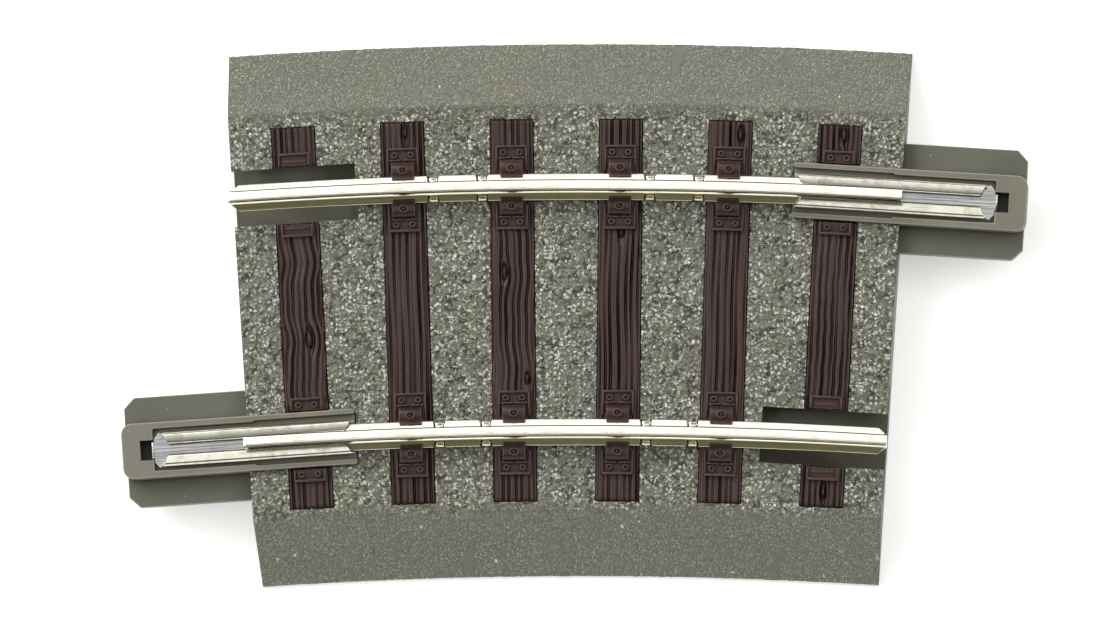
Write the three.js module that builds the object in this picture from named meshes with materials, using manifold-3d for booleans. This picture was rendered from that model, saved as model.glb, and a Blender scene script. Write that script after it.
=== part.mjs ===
// A curved section of HO model railway track on a moulded ballast bed, with one exchangeable rail joiner
// at each end. Millimetres, +Z up. The origin is on the track's centre line at mid length, on the base.
// +X runs along the track and +Y points to the outside of the curve.
import * as THREE from 'three';
import { mergeVertices } from 'three/addons/utils/BufferGeometryUtils.js';
import Module from 'manifold-3d';

const wasm = await Module();
wasm.setup();

const DEGREE = Math.PI / 180;
const REACH = 50; // longer than any cut has to be
const OVERLAP = 0.3; // how far two shapes that are joined run into each other
const BELOW = -1; // a height clear of the base

// Track geometry
const RADIUS = 358;
const END_ANGLE = 3.75 * DEGREE; // half of the 7.5 degree section
const RAIL_OFFSET = 8.75; // head centre from track centre: 16.5 gauge, eased a little for the curve

// Levels above the base
const BALLAST_TOP = 5.6;
const SLEEPER_TOP = 5.9;
const PLATE_TOP = 6.05;
const FOOT_BOTTOM = 6.1;
const RAIL_HEIGHT = 2.1;

// Ballast bed
const BED = {
  outerEdge: 19.45,
  innerEdge: -18.75,
  outerCrest: 14.69,
  innerCrest: -14.32,
  rim: 0.45, // upright edge below the slopes
  wall: 1.3,
  endWall: 1.2,
  skinBottom: 3.9,
  endGap: 0.15, // the moulding stops short of the rail ends
  steps: 16,
};
const RIB = { thickness: 1, bottom: 0.5 };
const BOSS = { radius: 3, sides: 24 };

// Sleepers
const SLEEPER = {
  pitch: 1.2072 * DEGREE,
  width: 3,
  halfLength: 13.58,
  bottom: 4.95,
  bevel: 0.15,
  gap: 0.04, // clearance in the recess
  pegRadius: 0.6,
  pegBottom: 3.5,
  pegOffset: 2.2,
  pegGap: 0.05,
  pegSides: 10,
};
const CHAIR = {
  plateWidth: 2.15,
  plateReach: 2.95, // from the rail centre
  clampWidth: 1.6,
  clampInside: 0.98,
  clampOverhang: 0.75,
  clampUnderside: 6.45,
  clampTop: 6.78,
  clampReach: 2.02,
  clampSlope: 0.25, // the outer face leans in by this much above its middle
};

// Rails
const RAIL = {
  footHalf: 0.95,
  footEdge: 0.26,
  footRise: 0.5,
  webHalf: 0.2,
  headHalf: 0.4,
  headDepth: 0.55,
  headTaper: 0.14,
  headCorner: 0.11,
  headBreak: 0.03, // how far the corner's middle point stands in from a square corner
  steps: 24,
};
const NOTCH = { halfWidth: 0.5, depth: 0.5, splay: 0.15, spread: 0.272 * DEGREE };
const TAB = { width: 0.5, depth: 0.22, bottom: 5.78 };
const FOOT_CHAMFER = 0.7;

// Joiner carrier, in its own frame: +X away from the track from the rail's end, +Y across
const CARRIER = {
  inner: -7.8,
  channelEnd: 8.85,
  tongueEnd: 8.7,
  tongueHalf: 3.93,
  tongueBottom: 3.1,
  tongueTop: 4.2,
  tongueChamfer: 0.55,
  half: 1.975,
  corner: 0.6,
  wall: 0.475,
  thinnerWall: 0.38, // the stretch inside the bed
  thinnerFrom: -0.6,
  floor: 5.75,
  top: 6.3,
  pocketEnd: 6.6,
  windowHalf: 0.71,
  windowEnd: 7.55,
  windowBottom: 4.6,
};
const SLOT = {
  half: 2.03,
  tongueHalf: 4.1,
  bottom: 3,
  top: 4.3,
  floor: 0.8,
  wall: 0.8,
  depth: 7.95, // where a carrier sits
  openDepth: 9, // for the next section's carrier
};

// Metal joiner, in the same frame
const JOINER = {
  half: 1.23,
  sheet: 0.2,
  bend: 0.15,
  bottom: 5.8,
  top: 6.76,
  lipInside: 0.35,
  inner: -7.7,
  lipShort: 0.6, // how much shorter the lips are at their inside edges
  outer: 5.95,
  lipTaper: 0.5,
  floorEnd: 6.55,
  floorEndHalf: 0.85,
  flareHalf: 1.27,
  flareFrom: 5.75,
  flareTo: 6.2,
  hookHalf: 0.6,
  hookGap: 0.1, // between the hook and the wall that it hangs over
  hookBottom: 4.8,
};

const materials = {
  ballast: new THREE.MeshStandardMaterial({ color: 0x75756a, roughness: 0.75, metalness: 0 }),
  sleeper: new THREE.MeshStandardMaterial({ color: 0x4b3230, roughness: 0.55, metalness: 0 }),
  rail: new THREE.MeshStandardMaterial({ color: 0xe6e2d0, roughness: 0.25, metalness: 1 }),
  carrier: new THREE.MeshStandardMaterial({ color: 0x7a786c, roughness: 0.5, metalness: 0 }),
  joiner: new THREE.MeshStandardMaterial({ color: 0xc8c8c4, roughness: 0.3, metalness: 1 }),
};

// Closed three.js geometry to a solid that can be joined and cut, and back.
function solid(geometry) {
  const bare = geometry.clone();
  bare.deleteAttribute('normal');
  bare.deleteAttribute('uv');
  const merged = mergeVertices(bare, 1e-5);
  return new wasm.Manifold(new wasm.Mesh({
    numProp: 3,
    vertProperties: new Float32Array(merged.attributes.position.array),
    triVerts: new Uint32Array(merged.index.array),
  }));
}

function geometryOf(body) {
  const mesh = body.getMesh();
  const indexed = new THREE.BufferGeometry();
  indexed.setAttribute('position', new THREE.BufferAttribute(mesh.vertProperties, 3));
  indexed.setIndex(new THREE.BufferAttribute(mesh.triVerts, 1));
  const geometry = indexed.toNonIndexed();
  geometry.computeVertexNormals();
  return geometry;
}

function join(bodies) {
  return bodies.reduce((whole, body) => whole.add(body));
}

function cut(body, cutters) {
  return cutters.reduce((rest, cutter) => rest.subtract(cutter), body);
}

// A straight prism over a list of [x, y] points, from one height to another.
function prism(points, bottom, top) {
  const shape = new THREE.Shape(points.map(([x, y]) => new THREE.Vector2(x, y)));
  const geometry = new THREE.ExtrudeGeometry(shape, { depth: top - bottom, bevelEnabled: false });
  return geometry.translate(0, 0, bottom);
}

function box(x0, x1, y0, y1, z0, z1) {
  const geometry = new THREE.BoxGeometry(x1 - x0, y1 - y0, z1 - z0);
  return geometry.translate((x0 + x1) / 2, (y0 + y1) / 2, (z0 + z1) / 2);
}

// A prism along X over a list of [y, z] points.
function alongX(points, from, to) {
  const turn = new THREE.Matrix4().makeBasis(
    new THREE.Vector3(0, 1, 0),
    new THREE.Vector3(0, 0, 1),
    new THREE.Vector3(1, 0, 0),
  );
  return prism(points, from, to).applyMatrix4(turn);
}

// A section of [offset from the centre line, height] points carried round the curve.
function alongCurve(points, startAngle, endAngle, steps) {
  const shape = new THREE.Shape(points.map(([offset, height]) => new THREE.Vector2(offset, height)));
  const geometry = new THREE.ExtrudeGeometry(shape, { depth: 1, steps, bevelEnabled: false });
  const place = geometry.attributes.position;
  for (let i = 0; i < place.count; i += 1) {
    const angle = startAngle + (endAngle - startAngle) * place.getZ(i);
    const radius = RADIUS + place.getX(i);
    place.setXYZ(i, radius * Math.sin(angle), radius * Math.cos(angle) - RADIUS, place.getY(i));
  }
  return geometry;
}

// The frame at a point on the curve: local Y points out from the curve's centre, local X along the track.
function frameOnCurve(angle, offset) {
  const radius = RADIUS + offset;
  return new THREE.Matrix4()
    .makeRotationZ(-angle)
    .setPosition(radius * Math.sin(angle), radius * Math.cos(angle) - RADIUS, 0);
}

// The frame at a rail's end: local X points away from the track.
function frameAtRailEnd(side, offset) {
  const frame = frameOnCurve(side * END_ANGLE, offset);
  return side > 0 ? frame : frame.multiply(new THREE.Matrix4().makeRotationZ(Math.PI));
}

const railEnds = [
  { side: -1, offset: RAIL_OFFSET, depth: SLOT.openDepth },
  { side: -1, offset: -RAIL_OFFSET, depth: SLOT.depth },
  { side: 1, offset: RAIL_OFFSET, depth: SLOT.depth },
  { side: 1, offset: -RAIL_OFFSET, depth: SLOT.openDepth },
];

const sleeperAngles = [-2.5, -1.5, -0.5, 0.5, 1.5, 2.5].map((count) => count * SLEEPER.pitch);
const gapAngles = [-2, -1, 0, 1, 2].map((count) => count * SLEEPER.pitch);

// The inside face of a sloped wall, given by the points where it meets two heights.
function insideOfSlope(edge, crest, heights) {
  const run = crest - edge;
  const rise = BALLAST_TOP - BED.rim;
  const length = Math.hypot(run, rise);
  const shift = (Math.sign(run) * BED.wall * length) / rise;
  return heights.map((height) => [edge + (run * (height - BED.rim)) / rise + shift, height]);
}

function ballastBed() {
  const endAngle = END_ANGLE - BED.endGap / RADIUS;
  const section = [
    [BED.outerEdge, 0],
    [BED.outerEdge, BED.rim],
    [BED.outerCrest, BALLAST_TOP],
    [BED.innerCrest, BALLAST_TOP],
    [BED.innerEdge, BED.rim],
    [BED.innerEdge, 0],
  ];
  const outside = solid(alongCurve(section, -endAngle, endAngle, BED.steps));

  const hollowAngle = endAngle - BED.endWall / RADIUS;
  const hollowSection = [
    ...insideOfSlope(BED.outerEdge, BED.outerCrest, [BELOW, BED.skinBottom]),
    ...insideOfSlope(BED.innerEdge, BED.innerCrest, [BED.skinBottom, BELOW]),
  ];
  const shell = cut(outside, [solid(alongCurve(hollowSection, -hollowAngle, hollowAngle, BED.steps))]);

  const joinTop = BED.skinBottom + OVERLAP;
  const ribs = gapAngles.map((angle) => {
    const half = RIB.thickness / 2;
    const rib = box(-half, half, BED.innerEdge, BED.outerEdge, RIB.bottom, joinTop);
    return solid(rib.applyMatrix4(frameOnCurve(angle, 0)));
  });
  const spineSection = [
    [-RIB.thickness / 2, RIB.bottom],
    [RIB.thickness / 2, RIB.bottom],
    [RIB.thickness / 2, joinTop],
    [-RIB.thickness / 2, joinTop],
  ];
  const spine = solid(alongCurve(spineSection, -endAngle, endAngle, BED.steps));
  const boss = new THREE.CylinderGeometry(BOSS.radius, BOSS.radius, joinTop, BOSS.sides);
  boss.rotateX(Math.PI / 2).translate(0, 0, joinTop / 2);

  const slotHousings = railEnds.map(({ side, offset, depth }) => {
    const half = SLOT.tongueHalf + SLOT.wall;
    const housing = box(-depth - SLOT.wall, 0, -half, half, SLOT.bottom - SLOT.floor, joinTop);
    return solid(housing.applyMatrix4(frameAtRailEnd(side, offset)));
  });
  const slotRooms = railEnds.flatMap(({ side, offset, depth }) => {
    const frame = frameAtRailEnd(side, offset);
    const tongueRoom = box(-depth, REACH, -SLOT.tongueHalf, SLOT.tongueHalf, SLOT.bottom, SLOT.top);
    const channelRoom = box(-depth, REACH, -SLOT.half, SLOT.half, SLOT.bottom, REACH);
    return [solid(tongueRoom.applyMatrix4(frame)), solid(channelRoom.applyMatrix4(frame))];
  });

  const recesses = sleeperAngles.map((angle) => {
    const half = SLEEPER.width / 2 + SLEEPER.gap;
    const long = SLEEPER.halfLength + SLEEPER.gap;
    const recess = box(-half, half, -long, long, SLEEPER.bottom - SLEEPER.gap, REACH);
    return solid(recess.applyMatrix4(frameOnCurve(angle, 0)));
  });
  const pegHoles = sleeperAngles.flatMap((angle) => [-1, 1].map((side) => {
    const hole = peg(SLEEPER.pegRadius + SLEEPER.pegGap, 0, BALLAST_TOP, side * SLEEPER.pegOffset);
    return solid(hole.applyMatrix4(frameOnCurve(angle, 0)));
  }));

  const inside = join([...ribs, spine, solid(boss), ...slotHousings]).intersect(outside);
  return cut(join([shell, inside]), [...slotRooms, ...recesses, ...pegHoles]);
}

function peg(radius, bottom, top, offset) {
  const geometry = new THREE.CylinderGeometry(radius, radius, top - bottom, SLEEPER.pegSides);
  return geometry.rotateX(Math.PI / 2).translate(0, offset, (top + bottom) / 2);
}

// A sleeper between two offsets from the centre line, in a frame with Y along the sleeper.
function sleeperBlock(from, to) {
  const half = SLEEPER.width / 2;
  const section = [
    [-half, SLEEPER.bottom],
    [half, SLEEPER.bottom],
    [half, SLEEPER_TOP - SLEEPER.bevel],
    [half - SLEEPER.bevel, SLEEPER_TOP],
    [-half + SLEEPER.bevel, SLEEPER_TOP],
    [-half, SLEEPER_TOP - SLEEPER.bevel],
  ];
  return solid(prism(section, 0, to - from).rotateX(Math.PI / 2).translate(0, to, 0));
}

function chairPlate(railOffset) {
  const half = CHAIR.plateWidth / 2;
  const reach = CHAIR.plateReach;
  const plate = box(-half, half, railOffset - reach, railOffset + reach, SLEEPER_TOP - OVERLAP, PLATE_TOP);
  return solid(plate);
}

// The clamp on one side of a rail: a block whose top reaches over the rail's foot.
function chairClamp(railOffset, side) {
  const section = [
    [CHAIR.clampInside, SLEEPER_TOP - OVERLAP],
    [CHAIR.clampReach, SLEEPER_TOP - OVERLAP],
    [CHAIR.clampReach, PLATE_TOP + (CHAIR.clampTop - PLATE_TOP) / 2],
    [CHAIR.clampReach - CHAIR.clampSlope, CHAIR.clampTop],
    [CHAIR.clampOverhang, CHAIR.clampTop],
    [CHAIR.clampOverhang, CHAIR.clampUnderside],
    [CHAIR.clampInside, CHAIR.clampUnderside],
  ];
  const clamp = alongX(section, -CHAIR.clampWidth / 2, CHAIR.clampWidth / 2);
  if (side < 0) {
    clamp.rotateZ(Math.PI);
  }
  return solid(clamp.translate(0, railOffset, 0));
}

function pegs() {
  return [-1, 1].map((side) => solid(
    peg(SLEEPER.pegRadius, SLEEPER.pegBottom, SLEEPER.bottom + OVERLAP, side * SLEEPER.pegOffset),
  ));
}

function fullSleeper() {
  const rails = [-RAIL_OFFSET, RAIL_OFFSET];
  const chairs = rails.flatMap((offset) => [chairPlate(offset), chairClamp(offset, -1), chairClamp(offset, 1)]);
  return join([sleeperBlock(-SLEEPER.halfLength, SLEEPER.halfLength), ...chairs, ...pegs()]);
}

// One of the three pieces of an end sleeper, cut back to the joiner slots beside it.
function endSleeperPiece(angle, from, to) {
  const toLocal = frameOnCurve(angle, 0).invert();
  const slots = [-RAIL_OFFSET, RAIL_OFFSET].map((offset) => {
    const frame = frameAtRailEnd(Math.sign(angle), offset);
    const half = SLOT.half + SLEEPER.gap;
    const room = box(-REACH, REACH, -half, half, 0, REACH);
    return solid(room.applyMatrix4(frame).applyMatrix4(toLocal));
  });
  const bound = solid(box(-REACH, REACH, from, to, 0, REACH));
  const plates = join([chairPlate(-RAIL_OFFSET), chairPlate(RAIL_OFFSET)]).intersect(bound);
  const extras = from < 0 && to > 0 ? pegs() : [];
  return cut(join([sleeperBlock(from, to), plates, ...extras]), slots);
}

function railSection() {
  const head = FOOT_BOTTOM + RAIL_HEIGHT;
  const side = [
    [RAIL.footHalf, FOOT_BOTTOM],
    [RAIL.footHalf, FOOT_BOTTOM + RAIL.footEdge],
    [RAIL.webHalf, FOOT_BOTTOM + RAIL.footRise],
    [RAIL.webHalf, head - RAIL.headDepth],
    [RAIL.headHalf, head - RAIL.headDepth + RAIL.headTaper],
    [RAIL.headHalf, head - RAIL.headCorner],
    [RAIL.headHalf - RAIL.headBreak, head - RAIL.headBreak],
    [RAIL.headHalf - RAIL.headCorner, head],
  ];
  return [...side, ...side.map(([offset, height]) => [-offset, height]).reverse()];
}

function rail(offset, bareSide) {
  const section = railSection().map(([across, height]) => [offset + across, height]);
  const body = solid(alongCurve(section, -END_ANGLE, END_ANGLE, RAIL.steps));
  const footTop = FOOT_BOTTOM + RAIL.footRise;

  const places = [-1, 1].flatMap((half) => [-1, 1].map((way) => half * SLEEPER.pitch + way * NOTCH.spread));
  const edges = places.flatMap((angle) => [-1, 1].map((side) => ({ frame: frameOnCurve(angle, offset), side })));
  const notches = edges.map(({ frame, side }) => {
    const deep = side * (RAIL.footHalf - NOTCH.depth);
    const out = side * (RAIL.footHalf + OVERLAP);
    const narrow = NOTCH.halfWidth - NOTCH.splay;
    const outline = [[-narrow, deep], [narrow, deep], [NOTCH.halfWidth, out], [-NOTCH.halfWidth, out]];
    return solid(prism(side > 0 ? outline : outline.reverse(), 0, footTop).applyMatrix4(frame));
  });
  const tabs = edges.map(({ frame, side }) => {
    const inside = side * (RAIL.footHalf - NOTCH.depth - OVERLAP / 2);
    const outside = side * (RAIL.footHalf - NOTCH.depth + TAB.depth);
    const tab = box(-TAB.width / 2, TAB.width / 2, Math.min(inside, outside), Math.max(inside, outside),
      TAB.bottom, FOOT_BOTTOM + RAIL.footEdge);
    return solid(tab.applyMatrix4(frame));
  });

  const endFrame = frameAtRailEnd(bareSide, offset);
  const chamfers = [-1, 1].map((side) => {
    const edge = side * (RAIL.footHalf + OVERLAP);
    const inner = side * (RAIL.footHalf - FOOT_CHAMFER);
    const back = -FOOT_CHAMFER - OVERLAP;
    const outline = [[back, edge], [OVERLAP, edge], [OVERLAP, inner - side * OVERLAP]];
    return solid(prism(side < 0 ? outline : outline.reverse(), 0, footTop).applyMatrix4(endFrame));
  });
  return join([cut(body, [...notches, ...chamfers]), ...tabs]);
}

// The outline of a bar from x = inner to x = end, with the two corners at its end cut off.
function chamferedEnd(inner, end, half, corner) {
  return [
    [inner, -half],
    [end - corner, -half],
    [end, -half + corner],
    [end, half - corner],
    [end - corner, half],
    [inner, half],
  ];
}

function joinerCarrier() {
  const tongue = chamferedEnd(CARRIER.inner, CARRIER.tongueEnd, CARRIER.tongueHalf, CARRIER.tongueChamfer);
  const block = chamferedEnd(CARRIER.inner, CARRIER.channelEnd, CARRIER.half, CARRIER.corner);
  const gap = CARRIER.half - CARRIER.wall;
  const widerGap = CARRIER.half - CARRIER.thinnerWall;
  const body = join([
    solid(prism(tongue, CARRIER.tongueBottom, CARRIER.tongueTop)),
    solid(prism(block, CARRIER.tongueTop - OVERLAP, CARRIER.top)),
  ]);
  return cut(body, [
    solid(box(CARRIER.inner - OVERLAP, CARRIER.pocketEnd, -gap, gap, CARRIER.floor, REACH)),
    solid(box(CARRIER.inner - OVERLAP, CARRIER.thinnerFrom, -widerGap, widerGap, CARRIER.floor, REACH)),
    solid(box(CARRIER.pocketEnd - OVERLAP, CARRIER.windowEnd, -CARRIER.windowHalf, CARRIER.windowHalf,
      CARRIER.windowBottom, REACH)),
  ]);
}

function railJoiner() {
  const inside = JOINER.half - JOINER.sheet;
  const floorTop = JOINER.bottom + JOINER.sheet;
  const lipUnder = JOINER.top - JOINER.sheet;
  const right = [
    [JOINER.half - JOINER.bend, JOINER.bottom],
    [JOINER.half, JOINER.bottom + JOINER.bend],
    [JOINER.half, JOINER.top - JOINER.bend],
    [JOINER.half - JOINER.bend, JOINER.top],
    [JOINER.lipInside, JOINER.top],
    [JOINER.lipInside, lipUnder],
    [inside, lipUnder],
    [inside, floorTop],
  ];
  const section = [...right, ...right.map(([across, height]) => [-across, height]).reverse()];
  const channel = solid(alongX(section, JOINER.inner, JOINER.outer));
  const lipCuts = [-1, 1].flatMap((side) => {
    const edge = side * JOINER.half;
    const middle = side * (JOINER.lipInside - OVERLAP);
    const innerCut = [
      [JOINER.inner - OVERLAP, edge],
      [JOINER.inner, edge],
      [JOINER.inner + JOINER.lipShort, middle],
      [JOINER.inner - OVERLAP, middle],
    ];
    const outerCut = [
      [JOINER.outer, edge],
      [JOINER.outer + OVERLAP, edge],
      [JOINER.outer + OVERLAP, middle],
      [JOINER.outer - JOINER.lipTaper, middle],
    ];
    return [innerCut, outerCut].map((outline) => (
      solid(prism(side < 0 ? outline : outline.reverse(), floorTop, REACH))
    ));
  });
  const flare = [
    [JOINER.flareFrom, -JOINER.half + JOINER.bend],
    [JOINER.flareTo, -JOINER.flareHalf],
    [JOINER.floorEnd, -JOINER.floorEndHalf],
    [JOINER.floorEnd, JOINER.floorEndHalf],
    [JOINER.flareTo, JOINER.flareHalf],
    [JOINER.flareFrom, JOINER.half - JOINER.bend],
  ];
  const hook = box(JOINER.floorEnd - JOINER.sheet, CARRIER.pocketEnd + JOINER.sheet, -JOINER.hookHalf,
    JOINER.hookHalf, JOINER.bottom, floorTop);
  const hookInside = CARRIER.pocketEnd + JOINER.hookGap;
  const hookEnd = box(hookInside, hookInside + JOINER.sheet, -JOINER.hookHalf, JOINER.hookHalf,
    JOINER.hookBottom, floorTop);
  return join([
    cut(channel, lipCuts),
    solid(prism(flare, JOINER.bottom, floorTop)),
    solid(hook),
    solid(hookEnd),
  ]);
}

const track = new THREE.Group();

function place(name, body, material, frame) {
  const mesh = new THREE.Mesh(geometryOf(body), material);
  mesh.name = name;
  if (frame) {
    frame.decompose(mesh.position, mesh.quaternion, mesh.scale);
  }
  track.add(mesh);
}

place('ballast_bed', ballastBed(), materials.ballast);
place('outer_rail', rail(RAIL_OFFSET, -1), materials.rail);
place('inner_rail', rail(-RAIL_OFFSET, 1), materials.rail);

sleeperAngles.forEach((angle, index) => {
  const name = `sleeper_${index + 1}`;
  const frame = frameOnCurve(angle, 0);
  if (index > 0 && index < sleeperAngles.length - 1) {
    place(name, fullSleeper(), materials.sleeper, frame);
    return;
  }
  const end = SLEEPER.halfLength;
  place(`${name}_outer_end`, endSleeperPiece(angle, RAIL_OFFSET, end), materials.sleeper, frame);
  place(`${name}_middle`, endSleeperPiece(angle, -RAIL_OFFSET, RAIL_OFFSET), materials.sleeper, frame);
  place(`${name}_inner_end`, endSleeperPiece(angle, -end, -RAIL_OFFSET), materials.sleeper, frame);
});

const joiners = [
  { name: 'left', side: -1, offset: -RAIL_OFFSET },
  { name: 'right', side: 1, offset: RAIL_OFFSET },
];
joiners.forEach(({ name, side, offset }) => {
  const frame = frameAtRailEnd(side, offset);
  place(`${name}_joiner_carrier`, joinerCarrier(), materials.carrier, frame);
  // The rail curves away from the straight joiner, which sits half way between the two extremes.
  const drift = JOINER.inner ** 2 / (2 * (RADIUS + offset)) / 2;
  const eased = frame.clone().multiply(new THREE.Matrix4().makeTranslation(0, -side * drift, 0));
  place(`${name}_rail_joiner`, railJoiner(), materials.joiner, eased);
});

export default track;
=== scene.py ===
import math

import bmesh
import bpy
import numpy as np
from mathutils import Matrix, Vector


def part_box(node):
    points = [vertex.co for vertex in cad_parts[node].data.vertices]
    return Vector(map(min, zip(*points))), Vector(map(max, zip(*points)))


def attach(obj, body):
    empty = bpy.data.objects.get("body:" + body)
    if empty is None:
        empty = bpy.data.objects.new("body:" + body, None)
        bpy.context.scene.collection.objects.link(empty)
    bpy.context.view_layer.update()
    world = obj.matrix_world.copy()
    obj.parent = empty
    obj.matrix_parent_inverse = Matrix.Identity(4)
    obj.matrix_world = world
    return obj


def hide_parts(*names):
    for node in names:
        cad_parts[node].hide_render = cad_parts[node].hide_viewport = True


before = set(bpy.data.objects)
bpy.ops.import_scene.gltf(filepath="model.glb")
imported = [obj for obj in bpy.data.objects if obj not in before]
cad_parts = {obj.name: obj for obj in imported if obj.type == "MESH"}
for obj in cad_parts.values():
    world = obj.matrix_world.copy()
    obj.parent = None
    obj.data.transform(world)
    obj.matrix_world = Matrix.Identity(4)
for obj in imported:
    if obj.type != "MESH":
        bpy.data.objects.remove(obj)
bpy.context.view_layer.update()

mm = 0.001


def lengths(**values):  # lengths given in millimetres, kept in metres
    return {name: value * mm for name, value in values.items()}


# the track's plan: centre line radius, half of its angle, rail offset from the centre line
plan = dict(radius=358 * mm, halfAngle=math.radians(3.75), railOffset=8.75 * mm, bedGap=0.154 * mm,
            sleeperPitch=math.radians(1.2072))
# heights above the table; a tool that cuts down from above reaches from underTools to overTools
levels = dict(ballast=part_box("ballast_bed")[1][2], railTop=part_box("outer_rail")[1][2],
              **lengths(sleeper=5.9, plate=6.05, foot=6.1, underTools=4, overTools=9))
railEnds = [(-1, 1, True), (-1, -1, False), (1, 1, False), (1, -1, True)]  # end, rail, open pocket
sleeperAngles = [(count - 2.5) * plan["sleeperPitch"] for count in range(6)]


def curvePoint(offset, angle, z=0.0):
    r = plan["radius"] + offset
    return Vector((r * math.sin(angle), r * math.cos(angle) - plan["radius"], z))


def curveFrame(angle, offset=0.0):  # local X along the track, local Y out from the curve's centre
    return Matrix.Translation(curvePoint(offset, angle)) @ Matrix.Rotation(-angle, 4, "Z")


def railEndFrame(side, offset):  # local X away from the track
    at = curveFrame(side * plan["halfAngle"], offset)
    return at if side > 0 else at @ Matrix.Rotation(math.pi, 4, "Z")


# Offsets from the centre line and angles of many points.
def polar(points):
    x, y = points[:, 0], points[:, 1] + plan["radius"]
    return np.hypot(x, y) - plan["radius"], np.arctan2(x, y)


def addObject(name, data):
    piece = bpy.data.objects.new(name, data)
    bpy.context.scene.collection.objects.link(piece)
    return piece


def meshObject(name, points, faces=(), edges=()):
    mesh = bpy.data.meshes.new(name)
    mesh.from_pydata([tuple(p) for p in points], list(edges), list(faces))
    return addObject(name, mesh)


def getPoints(mesh):
    flat = np.empty(len(mesh.vertices) * 3)
    mesh.vertices.foreach_get("co", flat)
    return flat.reshape(-1, 3)


def setPoints(mesh, points):
    mesh.vertices.foreach_set("co", np.asarray(points, float).ravel())
    mesh.update()


# Writes values on the points of a mesh, one number or one vector each.
def writeValues(mesh, name, values):
    kind = "FLOAT_VECTOR" if np.ndim(values) == 2 else "FLOAT"
    layer = mesh.attributes.get(name) or mesh.attributes.new(name, kind, "POINT")
    flat = np.ascontiguousarray(values, dtype=np.float32).ravel()
    layer.data.foreach_set("vector" if kind == "FLOAT_VECTOR" else "value", flat)


# Merges doubles, points the faces out and smooths all but the sharp edges.
def tidy(piece, angle=35, merge=1e-7):
    bm = bmesh.new()
    bm.from_mesh(piece.data)
    bmesh.ops.remove_doubles(bm, verts=bm.verts, dist=merge)
    bmesh.ops.dissolve_degenerate(bm, dist=merge, edges=bm.edges)
    bmesh.ops.recalc_face_normals(bm, faces=bm.faces)
    bm.to_mesh(piece.data)
    bm.free()
    smooth(piece, angle)
    return piece


def smooth(piece, angle=35):
    mesh = piece.data
    mesh.polygons.foreach_set("use_smooth", [True] * len(mesh.polygons))
    mesh.set_sharp_from_angle(angle=math.radians(angle))
    mesh.update()


def applyModifiers(piece):
    depsgraph = bpy.context.evaluated_depsgraph_get()
    depsgraph.update()
    old = piece.data
    new = bpy.data.meshes.new_from_object(piece.evaluated_get(depsgraph))
    piece.modifiers.clear()
    piece.data = new
    new.name = piece.name
    bpy.data.meshes.remove(old)
    return piece


def paintOver(piece, paint):
    piece.data.materials.clear()
    piece.data.materials.append(paint)


def markCourse(piece, points=None):  # the piece's own places in mm, for patterns that follow its shape
    places = getPoints(piece.data) if points is None else points
    writeValues(piece.data, "course", places / mm)


def cutOrJoin(piece, tool, operation="DIFFERENCE", solver="EXACT"):
    step = piece.modifiers.new("shape", "BOOLEAN")
    step.operation, step.object, step.solver = operation, tool, solver
    applyModifiers(piece)
    bpy.data.objects.remove(tool)
    return piece


# Rounds the sharp edges and marks the new faces, which the plastics paint in a lighter edge colour as a
# painted highlight.
def bevel(piece, width, segments=2, angle=40):
    bm = bmesh.new()
    bm.from_mesh(piece.data)
    worn = bm.faces.layers.float.get("worn") or bm.faces.layers.float.new("worn")
    limit = math.radians(angle)
    sharp = [edge for edge in bm.edges if edge.is_manifold and edge.calc_face_angle(0.0) > limit]
    made = bmesh.ops.bevel(bm, geom=sharp, offset=width, segments=segments, profile=0.5, affect="EDGES",
                           clamp_overlap=True)
    for face in made["faces"]:
        face[worn] = 1.0
    bm.to_mesh(piece.data)
    bm.free()
    return piece


def flatten(piece):  # keeps large faces evenly shaded beside small ones
    step = piece.modifiers.new("normals", "WEIGHTED_NORMAL")
    step.mode, step.weight, step.keep_sharp = "FACE_AREA", 90, True
    return applyModifiers(piece)


def joined(name, pieces):
    bm = bmesh.new()
    for piece in pieces:
        bm.from_mesh(piece.data)
    mesh = bpy.data.meshes.new(name)
    bm.to_mesh(mesh)
    bm.free()
    for piece in pieces:
        bpy.data.objects.remove(piece)
    return addObject(name, mesh)


# A closed prism over an outline, with its length along the last of axes.
def prism(name, outline, low, high, axes="xyz", at=None):
    order = ["xyz".index(a) for a in axes]
    n = len(outline)
    points = []
    for level in (low, high):
        for u, v in outline:
            p = [0.0, 0.0, 0.0]
            p[order[0]], p[order[1]], p[order[2]] = u, v, level
            points.append(p)
    faces = [tuple(range(n)), tuple(range(n, 2 * n))]
    faces += [(i, (i + 1) % n, n + (i + 1) % n, n + i) for i in range(n)]
    piece = meshObject(name, points, faces)
    if at is not None:
        piece.data.transform(at)
    return tidy(piece)


def block(name, low, high, at=None):
    outline = [(low[0], low[1]), (high[0], low[1]), (high[0], high[1]), (low[0], high[1])]
    return prism(name, outline, low[2], high[2], at=at)


def ringFaces(rings, count):  # the faces between rings of points, with a lid at each end
    faces = []
    for low in range(0, (rings - 1) * count, count):
        high = low + count
        faces += [(low + j, low + (j + 1) % count, high + (j + 1) % count, high + j) for j in range(count)]
    return faces + [tuple(range(count)), tuple((rings - 1) * count + j for j in range(count))]


# A closed turned shape: profile is (radius, height) from the bottom up.
def turned(name, profile, sides, at=(0, 0, 0)):
    turns = [2 * math.pi * k / sides for k in range(sides)]
    points = [(r * math.cos(turn), r * math.sin(turn), z) for r, z in profile for turn in turns]
    piece = meshObject(name, points, ringFaces(len(profile), sides))
    piece.data.transform(Matrix.Translation(at))
    return tidy(piece)


def arc(centre, radius, first, last, count):  # angles in degrees
    return [(centre[0] + radius * math.cos(math.radians(a)), centre[1] + radius * math.sin(math.radians(a)))
            for a in np.linspace(first, last, count)]


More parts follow.
